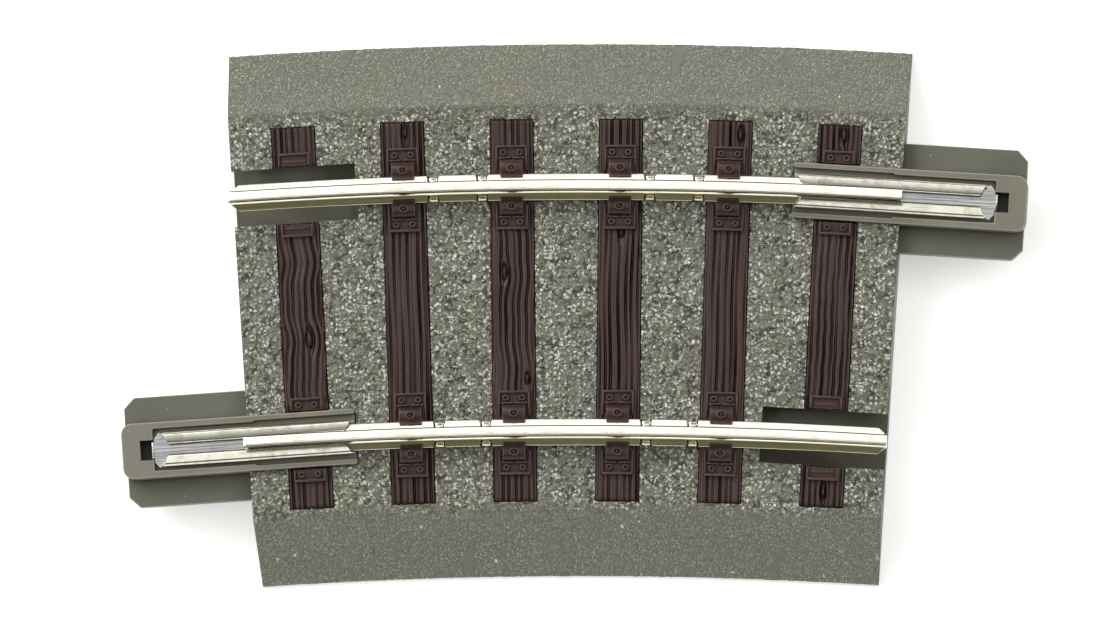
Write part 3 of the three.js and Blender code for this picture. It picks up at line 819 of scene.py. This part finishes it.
# The edge of a joiner slot in an end sleeper's frame: along = line(across).
def slotLine(angle, rail, side):
    slot = railEndFrame(int(math.copysign(1, angle)), rail * plan["railOffset"])
    outward = 1 if (slot @ Vector((0, 1, 0)) - slot @ Vector((0, 0, 0))).y > 0 else -1
    reach = (joinerSlot["half"] + 0.03 * mm) * side * outward
    toSleeper = curveFrame(angle).inverted()
    first, last = (toSleeper @ (slot @ Vector((x, reach, 0))) for x in (-20 * mm, 5 * mm))
    slope = (last.y - first.y) / (last.x - first.x)
    return lambda across: first.y + (across - first.x) * slope


def addPegs():
    profile = [(peg["radius"], peg["low"]), (peg["radius"], peg["high"])]
    return [turned("peg", profile, 20, at=(0, way * peg["out"], 0)) for way in (-1, 1)]


def halfChairs(sides, paint, **kind):  # sides holds (rail, side) for each half chair
    places = [((0, rail * plan["railOffset"], 0), 0.0 if side > 0 else math.pi) for rail, side in sides]
    return onPoints("chairs", chairShape("chair", paint, **kind), places, paint)


def wholeSleeper(number, paint):
    long = sleeper["halfLength"]
    first, last = (lambda across: across * 0 - long), (lambda across: across * 0 + long)
    plank = sleeperBlock("plank", first, last, planks[number])
    sides = [(rail, side) for rail in (-1, 1) for side in (-1, 1)]
    return {f"sleeper_{number}": [plank, halfChairs(sides, paint)] + addPegs()}


# An end sleeper's three stretches, with the joiner slots between them.
def cutSleeper(number, paint):
    angle, long = sleeperAngles[number - 1], sleeper["halfLength"]
    end = int(math.copysign(1, angle))
    lines = {(rail, side): slotLine(angle, rail, side) for rail in (-1, 1) for side in (-1, 1)}
    stretches = {"outer_end": (lines[1, 1], lambda across: across * 0 + long, [(1, 1)]),
                 "middle": (lines[-1, 1], lines[1, -1], [(-1, 1), (1, -1)]),
                 "inner_end": (lambda across: across * 0 - long, lines[-1, -1], [(-1, -1)])}
    made = {}
    for part, (first, last, sides) in stretches.items():
        parts = [sleeperBlock("plank", first, last, planks[number])]
        for rail, side in sides:
            isOpen = (end, rail, True) in railEnds
            parts.append(halfChairs([(rail, side)], paint, whole=False, bolts=not isOpen))
        if part == "middle":
            parts += addPegs()
        made[f"sleeper_{number}_{part}"] = parts
    return made


def addSleeper(number, paint):
    made = wholeSleeper(number, paint) if 1 < number < 6 else cutSleeper(number, paint)
    for node, parts in made.items():
        piece = joined(node + "_moulding", parts)
        piece.data.transform(curveFrame(sleeperAngles[number - 1]))
        paintOver(piece, paint)
        smooth(piece, 50)
        settle(flatten(piece), "track", node)


carrier = lengths(inner=-7.9, end=8.85, half=1.975, corner=0.75, wall=0.475, thinWall=0.37, thinFrom=-0.6,
                  thinStep=0.12, floor=5.74, top=6.3, pocketEnd=6.6, pocketCorner=0.08, windowHalf=0.71,
                  windowFrom=6.1, windowEnd=7.55, windowFloor=3.5, baseInner=-7.85, tongueInner=-7.7,
                  tongueEnd=8.7, tongueHalf=3.93, tongueLow=3.1, tongueTop=4.2, tongueCorner=0.75,
                  tongueEdge=0.063, edge=0.09, crease=0.03, overlap=0.2)
joinerShape = lengths(sheet=0.19, floor=5.9, flatHalf=0.5, side=1.13, bend=0.22, lipTop=6.66, lipBend=0.2,
                      lipDrop=0.04, lipInside=0.44, curl=0.12, inner=-7.7, outer=5.95, innerSlant=0.75,
                      outerSlant=0.5, flareFrom=5.5, flareNeck=1.0, flareMouth=1.05, flareHalf=1.26,
                      flareAt=6.2, floorEnd=6.55, floorEndHalf=0.85, hookFrom=6.3, hookBend=0.28,
                      hookRound=0.18, hookHalf=0.6, hookLow=4.8, edge=0.022)


# the channel's walls seen from above: a long U with round ends inside the bed
def wallOutline():
    c = carrier
    gap, wide = c["half"] - c["wall"], c["half"] - c["thinWall"]
    r, corner = c["thinWall"] / 2, c["pocketCorner"]
    side = arc((c["inner"] + r, c["half"] - r), r, 90, 270, 9)  # the round end of the wall at +Y
    inside = side[-1:] + [(c["thinFrom"] - c["thinStep"], wide), (c["thinFrom"], gap)]
    inside += [(c["pocketEnd"] - corner, gap), (c["pocketEnd"], gap - corner)]
    half = side[:-1] + inside
    mirrored = [(x, -y) for x, y in reversed(half)]
    return half + mirrored + barOutline(c["inner"], c["end"], c["half"], c["corner"])[1:-1]


def addCarrier(name, at, paint):
    c = carrier
    outline = barOutline(c["tongueInner"], c["tongueEnd"], c["tongueHalf"], c["tongueCorner"], 2)
    tongue = bevel(prism(name, outline, c["tongueLow"], c["tongueTop"]), c["tongueEdge"], 3)
    outline = barOutline(c["baseInner"], c["end"], c["half"], c["corner"])
    base = prism("base", outline, c["tongueTop"] - 0.3 * mm, c["floor"])
    walls = prism("walls", wallOutline(), c["floor"] - c["overlap"], c["top"])
    bevel(walls, c["edge"], 3, angle=60)
    cutOrJoin(base, walls, "UNION")
    window = block("window", (c["windowFrom"], -c["windowHalf"], c["windowFloor"]),
                   (c["windowEnd"], c["windowHalf"], levels["overTools"]))
    cutOrJoin(base, window)
    cutOrJoin(tongue, base, "UNION")
    bevel(tongue, c["crease"], 2, angle=50)
    tongue.data.transform(at)
    paintOver(tongue, paint)
    smooth(tongue, 35)
    return flatten(tongue)


# The folded sheet's closed outline across the joiner, from the line down its middle.
def sheetSection():
    j = joinerShape
    right = [(0.0, j["floor"]), (j["flatHalf"], j["floor"])]
    right += arc((j["side"] - j["bend"], j["floor"] + j["bend"]), j["bend"], -90, 0, 6)
    right += arc((j["side"] - j["lipBend"], j["lipTop"] - j["lipBend"]), j["lipBend"], 0, 80, 7)
    curl = (j["lipInside"] + j["curl"], j["lipTop"] - j["lipDrop"] - j["curl"])
    right += arc(curl, j["curl"], 92, 165, 6)
    path = np.array([(-u, z) for u, z in reversed(right)] + right[1:])
    step = np.gradient(path, axis=0)
    normal = np.stack([step[:, 1], -step[:, 0]], axis=1)
    normal /= np.linalg.norm(normal, axis=1)[:, None]
    outer, inner = path + normal * j["sheet"] / 2, path - normal * j["sheet"] / 2
    return [tuple(p) for p in outer] + [tuple(p) for p in inner[::-1]]


# The slanted cuts through both lips, at both ends of the folded sheet.
def slantCuts():
    j, cuts = joinerShape, []
    low = j["floor"] + j["sheet"] / 2 + 0.01 * mm
    for way in (-1, 1):
        far, near = way * (j["side"] + j["sheet"]), way * (j["lipInside"] - 0.2 * mm)
        for end, out, slant in ((j["inner"], -1, j["innerSlant"]), (j["outer"], 1, j["outerSlant"])):
            beyond = end + out * mm
            outline = [(beyond, far), (end, far), (end - out * slant, near), (beyond, near)]
            cuts.append(prism("slant", outline, low, levels["overTools"]))
    return cuts


def flareOutline():  # the joiner's floor where it widens beyond the lips and narrows to its end
    j = joinerShape
    mouth = j["outer"] - 0.15 * mm
    half = [(j["flareFrom"], j["flareNeck"]), (mouth, j["flareMouth"]), (j["flareAt"], j["flareHalf"]),
            (j["floorEnd"], j["floorEndHalf"])]
    return [(x, -y) for x, y in half] + half[::-1]


def hookOutline(low, high):  # the floor's end bent down into the window
    j = joinerShape
    outer, r = j["floorEnd"] + j["hookBend"], j["hookRound"]
    inner = outer - j["sheet"]
    outline = [(j["hookFrom"], low), (inner - 0.1 * mm, low), (inner, low - 0.1 * mm), (inner, j["hookLow"]),
               (outer, j["hookLow"]), (outer, high - r)]
    return outline + arc((outer - r, high - r), r, 0, 90, 5) + [(j["hookFrom"], high)]


def addJoiner(name, at, paint):
    j = joinerShape
    sheet = prism(name, sheetSection(), j["inner"], j["outer"], axes="yzx")
    for cut in slantCuts():
        cutOrJoin(sheet, cut)
    low, high = j["floor"] - j["sheet"] / 2, j["floor"] + j["sheet"] / 2
    cutOrJoin(sheet, prism("flare", flareOutline(), low, high), "UNION")
    hook = prism("hook", hookOutline(low, high), -j["hookHalf"], j["hookHalf"], axes="xzy")
    cutOrJoin(sheet, hook, "UNION")
    bevel(sheet, j["edge"], 2, angle=50)
    markCourse(sheet)
    sheet.data.transform(at)
    paintOver(sheet, paint)
    smooth(sheet, 35)
    return flatten(sheet)


def attribute(tree, name, output="Fac"):
    return addNode(tree, "ShaderNodeAttribute", {"attribute_name": name}).outputs[output]


def objectPlace(tree, scale=1.0):
    place = addNode(tree, "ShaderNodeTexCoord").outputs["Object"]
    return place if scale == 1.0 else vectors(tree, "SCALE", place, scale)


def noise(tree, vector, scale, roughness=0.5):
    pattern = addNode(tree, "ShaderNodeTexNoise", Vector=vector, Scale=scale, Detail=3.0,
                      Roughness=roughness)
    return pattern.outputs[0]


def openness(tree, reach, **settings):  # one in the open, less in corners and gaps
    settings["samples"] = 6
    return addNode(tree, "ShaderNodeAmbientOcclusion", settings, Distance=reach).outputs["AO"]


def finish(tree, shader, colour, roughness, height):
    bump = addNode(tree, "ShaderNodeBump", Strength=1.0, Distance=1.0, Height=height)
    for name, value in (("Base Color", colour), ("Roughness", roughness), ("Normal", bump.outputs[0])):
        setInput(tree, shader, name, value)


# flow marks and the fine orange peel of moulded plastic; lengths in the units of the vector
def mouldedSkinGroup():
    tree, given, out = shaderGroup("mouldedSkin", {"Vector": None, "Peel": 0.06, "Flow": 2.5,
                                                   "Height": 0.004 * mm}, ("Tone", "Roughness", "Height"))
    close = noise(tree, given["Vector"], maths(tree, "DIVIDE", 1.0, given["Peel"]))
    wide = noise(tree, given["Vector"], maths(tree, "DIVIDE", 1.0, given["Flow"]))
    tree.links.new(plus(tree, times(tree, wide, 0.7), times(tree, close, 0.3)), out["Tone"])
    tree.links.new(mapped(tree, wide, 0.3, 0.7, -0.06, 0.06), out["Roughness"])
    tree.links.new(times(tree, close, given["Height"]), out["Height"])
    return tree


# fine lines left by drawing or rolling, along X of the vector
def drawnLinesGroup():
    tree, given, out = shaderGroup("drawnLines", {"Vector": None, "Length": 6.0, "Width": 0.03}, ("Tone",))
    thin = maths(tree, "DIVIDE", 1.0, given["Width"])
    long = maths(tree, "DIVIDE", 1.0, given["Length"])
    squeeze = addNode(tree, "ShaderNodeCombineXYZ", X=long, Y=thin, Z=thin)
    squeezed = vectors(tree, "MULTIPLY", given["Vector"], squeeze.outputs[0])
    tree.links.new(noise(tree, squeezed, 1.0, 0.6), out["Tone"])
    return tree


# scattered ragged specks: where they are, and a random draw for each
def fleckGroup():
    tree, given, out = shaderGroup("flecks", {"Vector": None, "Spacing": 1.7, "Share": 0.14, "Size": 0.11},
                                   ("Fleck", "Draw"))
    loose = addNode(tree, "ShaderNodeTexNoise", Vector=given["Vector"], Scale=4.5)
    ragged = vectors(tree, "SCALE", vectors(tree, "SUBTRACT", loose.outputs[1], (0.5, 0.5, 0.5)), 0.35)
    flat = vectors(tree, "MULTIPLY", vectors(tree, "ADD", given["Vector"], ragged), (1.0, 1.0, 0.0))
    spread = vectors(tree, "SCALE", flat, maths(tree, "DIVIDE", 1.0, given["Spacing"]))
    cells = addNode(tree, "ShaderNodeTexVoronoi", {"voronoi_dimensions": "2D"}, Vector=spread, Scale=1.0)
    draw = splitVector(tree, cells.outputs[1])
    reach = mapped(tree, draw[0], maths(tree, "SUBTRACT", 1.0, given["Share"]), 1.0, 0.0, given["Size"])
    tree.links.new(maths(tree, "LESS_THAN", cells.outputs[0], reach), out["Fleck"])
    tree.links.new(draw[1], out["Draw"])
    return tree


effects = {"flecks": fleckGroup(), "skin": mouldedSkinGroup(), "drawn": drawnLinesGroup()}

# pit is the colour of painted shade between the stones and of the darker stones, crest that of painted
# highlights on their bumps
ballastLook = dict(pit=rgb(0.235, 0.235, 0.195), grey=rgb(0.54, 0.54, 0.50), olive=rgb(0.555, 0.555, 0.47),
                   crest=rgb(0.93, 0.93, 0.885), slope=rgb(0.5, 0.5, 0.435), plain=rgb(0.40, 0.395, 0.34),
                   chip=rgb(0.90, 0.89, 0.84), warmChip=rgb(0.74, 0.58, 0.49), chipSpacing=1.3,
                   chipShare=0.16, chipSize=0.085, shine=0.3, slopeShine=0.45,
                   **lengths(grit=0.19, stoneBump=0.12, gritBump=0.06, slopeBump=0.1))


def ballastPaint():
    look = ballastLook
    paint, tree, shader = material("ballast", roughness=0.4)
    place, inMm = objectPlace(tree), objectPlace(tree, 1 / mm)
    coarse, fine = attribute(tree, "coarse"), attribute(tree, "fine")
    big, tone, drift, crest = stonePattern(tree, place, stones["size"], stones["warp"])
    small, gritTone, _, gritCrest = stonePattern(tree, place, look["grit"], stones["warp"])
    skin = useGroup(tree, effects["skin"], Vector=inMm, Peel=0.08, Flow=3.0)
    stone = mixColours(tree, drift, look["grey"], look["olive"])
    # painted shade: the low parts between the stones are painted dark
    stone = mixColours(tree, mapped(tree, big, 0.24, 0.0, 0.0, 0.85), stone, look["pit"])
    stone = mixColours(tree, mapped(tree, tone, 0.0, 1.0, 0.08, 0.0), stone, look["pit"])
    # painted highlight: the high bumps and worms are painted light, as glints
    light = times(tree, mapped(tree, crest, 0.42, 0.8), mapped(tree, gritTone, 0.0, 0.8, 0.2, 1.0))
    stone = mixColours(tree, light, stone, look["crest"])
    # painted shade in the grit's low parts and painted highlight on its crests
    slope = mixColours(tree, mapped(tree, small, 0.0, 0.7, 0.5, 0.0), look["slope"], look["pit"])
    slope = mixColours(tree, mapped(tree, gritCrest, 0.6, 1.0, 0.0, 0.34), slope, look["crest"])
    colour = mixColours(tree, coarse, mixColours(tree, fine, look["plain"], slope), stone)
    colour = mixColours(tree, mapped(tree, skin["Tone"], 0.35, 0.65, 0.14, 0.0), colour, look["pit"])
    chips = useGroup(tree, effects["flecks"], Vector=inMm, Spacing=look["chipSpacing"],
                     Share=look["chipShare"], Size=look["chipSize"])
    warm = maths(tree, "GREATER_THAN", chips["Draw"], 0.8)
    onStone = times(tree, chips["Fleck"], maths(tree, "MAXIMUM", coarse, fine))
    colour = mixColours(tree, onStone, colour, mixColours(tree, warm, look["chip"], look["warmChip"]))
    rough = plus(tree, mapped(tree, coarse, 0.0, 1.0, look["slopeShine"], look["shine"]), skin["Roughness"])
    high = plus(tree, times(tree, big, look["stoneBump"]), times(tree, small, look["gritBump"]))
    low = times(tree, small, look["slopeBump"])
    relief = plus(tree, times(tree, high, coarse), times(tree, low, fine))
    finish(tree, shader, colour, rough, plus(tree, relief, skin["Height"]))
    return paint


# edge is the colour of a painted highlight on bevelled edges, ridge that of a painted sheen beside the
# grain's grooves
plasticLook = {
    "sleeper": dict(base=rgb(0.235, 0.16, 0.145), dark=rgb(0.07, 0.035, 0.03), edge=rgb(0.46, 0.35, 0.33),
                    ridge=rgb(0.35, 0.265, 0.25), roughness=0.34, flow=2.0, edgeLight=0.75, corner=0.4 * mm,
                    specular=0.3, shadeBelow=0.0, dim=0.0, flecks=0.0),
    "carrier": dict(base=rgb(0.47, 0.465, 0.41), dark=rgb(0.15, 0.145, 0.125), edge=rgb(0.62, 0.61, 0.55),
                    ridge=rgb(0.5, 0.5, 0.45), roughness=0.42, flow=4.0, edgeLight=0.6, corner=0.6 * mm,
                    specular=0.4, shadeBelow=4.25, dim=0.35, flecks=0.05, fleck=rgb(0.8, 0.8, 0.77)),
}


def plasticPaint(name):
    look = plasticLook[name]
    paint, tree, shader = material(name, roughness=look["roughness"], Specular_IOR_Level=look["specular"])
    place = objectPlace(tree, 1 / mm)
    skin = useGroup(tree, effects["skin"], Vector=place, Peel=0.07, Flow=look["flow"])
    colour = mixColours(tree, mapped(tree, skin["Tone"], 0.25, 0.6, 0.7, 1.0), look["dark"], look["base"])
    # painted shade: the carrier's tongue, below this height, is painted darker
    height, shadeBelow = splitVector(tree, place)[2], look["shadeBelow"]
    low = mapped(tree, height, shadeBelow + 0.1, shadeBelow, 0.0, look["dim"])
    colour = mixColours(tree, low, colour, look["dark"])
    shade = openness(tree, look["corner"], only_local=True)
    # painted shade: corners and gaps, where little is open, are painted dark
    colour = mixColours(tree, mapped(tree, shade, 0.85, 0.3, 0.0, 0.85), colour, look["dark"])
    hollow = attribute(tree, "hollow")
    # painted sheen: the shoulders beside the grain's grooves are painted in the lighter ridge colour
    shoulder = times(tree, mapped(tree, hollow, 0.01, 0.08), mapped(tree, hollow, 0.3, 0.12))
    colour = mixColours(tree, times(tree, shoulder, 0.45), colour, look["ridge"])
    # painted shade: the grain's grooves are painted dark
    colour = mixColours(tree, mapped(tree, hollow, 0.15, 0.55), colour, look["dark"])
    # painted highlight: the bevelled edges, where open, are painted in the lighter edge colour
    worn = times(tree, attribute(tree, "worn"), mapped(tree, shade, 0.55, 0.85, 0.0, look["edgeLight"]))
    colour = mixColours(tree, worn, colour, look["edge"])
    if look["flecks"]:
        flecks = useGroup(tree, effects["flecks"], Vector=place, Spacing=1.3, Share=look["flecks"],
                          Size=0.045)
        colour = mixColours(tree, times(tree, flecks["Fleck"], 0.8), colour, look["fleck"])
    finish(tree, shader, colour, plus(tree, skin["Roughness"], look["roughness"]), skin["Height"])
    return paint


# the dark colours and the rail's olive tint stand for painted shade: in corners and gaps, on the head's
# sides and on the side towards the curve's centre
# heights and places across in millimetres
metalLook = {
    "rail": dict(base=rgb(0.985, 0.972, 0.935), stain=rgb(0.93, 0.91, 0.80), dark=rgb(0.2, 0.19, 0.12),
                 roughness=0.17, lineLength=12.0, lineWidth=0.07, side=rgb(0.2, 0.185, 0.11),
                 shadeTint=rgb(0.80, 0.77, 0.56), sideTop=levels["railTop"] / mm - 0.012,
                 sideLow=(levels["railTop"] - railShape["headDepth"]) / mm - 0.08, shadeTintFrom=-0.36),
    "joiner": dict(base=rgb(0.88, 0.87, 0.82), stain=rgb(0.66, 0.64, 0.55), dark=rgb(0.2, 0.19, 0.12),
                   roughness=0.18, lineLength=3.5, lineWidth=0.035, floor=rgb(0.76, 0.76, 0.75),
                   streak=rgb(0.5, 0.51, 0.52), floorTop=6.2),
}


def metalPaint(name):
    look = metalLook[name]
    paint, tree, shader = material(name, roughness=look["roughness"], metallic=1.0)
    course = attribute(tree, "course", "Vector")
    across, height = splitVector(tree, course)[1:]
    lines = useGroup(tree, effects["drawn"], Vector=course, Length=look["lineLength"],
                     Width=look["lineWidth"])["Tone"]
    stain = noise(tree, course, 0.9, 0.6)
    share = times(tree, mapped(tree, stain, 0.4, 0.75), mapped(tree, lines, 0.35, 0.65, 0.3, 1.0))
    colour = mixColours(tree, share, look["base"], look["stain"])
    if name == "rail":  # painted shade: the head's sides under its top are painted dark, and the rail's side towards the curve's centre is painted olive
        inner = times(tree, mapped(tree, across, look["shadeTintFrom"], look["shadeTintFrom"] - 0.06),
                      mapped(tree, lines, 0.3, 0.7, 0.95, 0.6))
        colour = mixColours(tree, inner, colour, look["shadeTint"])
        # painted shade: the sides of the head, under its top, are painted dark
        under = times(tree, mapped(tree, height, look["sideTop"], look["sideTop"] - 0.03),
                      mapped(tree, height, look["sideLow"], look["sideLow"] + 0.08))
        colour = mixColours(tree, under, colour, look["side"])
    else:  # the floor of the folded sheet is duller than its lips
        streaks = mixColours(tree, mapped(tree, lines, 0.35, 0.65), look["streak"], look["floor"])
        above = mapped(tree, height, look["floorTop"], look["floorTop"] + 0.2)
        colour = mixColours(tree, above, streaks, colour)
    shade = openness(tree, 0.45 * mm)
    # painted shade: where little is open, as under the rail head and the joiner's lips, the metal is painted
    # dark
    colour = mixColours(tree, mapped(tree, shade, 0.5, 0.15, 0.0, 0.9), colour, look["dark"])
    rough = mapped(tree, lines, 0.3, 0.7, look["roughness"] - 0.04, look["roughness"] + 0.05)
    rough = plus(tree, rough, mapped(tree, stain, 0.4, 0.8, 0.0, 0.08))
    finish(tree, shader, colour, rough, times(tree, lines, 0.0006 * mm))
    return paint


paints = {"ballast": ballastPaint(), "sleeper": plasticPaint("sleeper"), "rail": metalPaint("rail"),
          "carrier": plasticPaint("carrier"), "joiner": metalPaint("joiner")}
print("materials mixed")

trees = {"section": sectionTree(), "relief": reliefTree(), "places": placesTree()}


def settle(piece, body, node):
    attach(piece, body)
    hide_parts(node)


settle(addBallastBed(paints["ballast"]), "track", "ballast_bed")
for node, rail, bareEnd in (("outer_rail", 1, -1), ("inner_rail", -1, 1)):
    drawn = addRail(node + "_drawn", rail * plan["railOffset"], bareEnd, paints["rail"])
    settle(drawn, "track", node)
print("rails drawn")
for number in range(1, 7):
    addSleeper(number, paints["sleeper"])
print("sleepers laid")
for side, rail in (("left", -1), ("right", 1)):
    end = railEndFrame(rail, rail * plan["railOffset"])
    moulding = addCarrier(f"{side}_carrier_moulding", end, paints["carrier"])
    settle(moulding, f"{side}_joiner", f"{side}_joiner_carrier")
    drift = joinerShape["inner"] ** 2 / (plan["radius"] + rail * plan["railOffset"]) / 4
    eased = end @ Matrix.Translation((0, -rail * drift, 0))  # half of the rail's drift there
    sheet = addJoiner(f"{side}_joiner_sheet", eased, paints["joiner"])
    settle(sheet, f"{side}_joiner", f"{side}_rail_joiner")
print("joiners fitted")
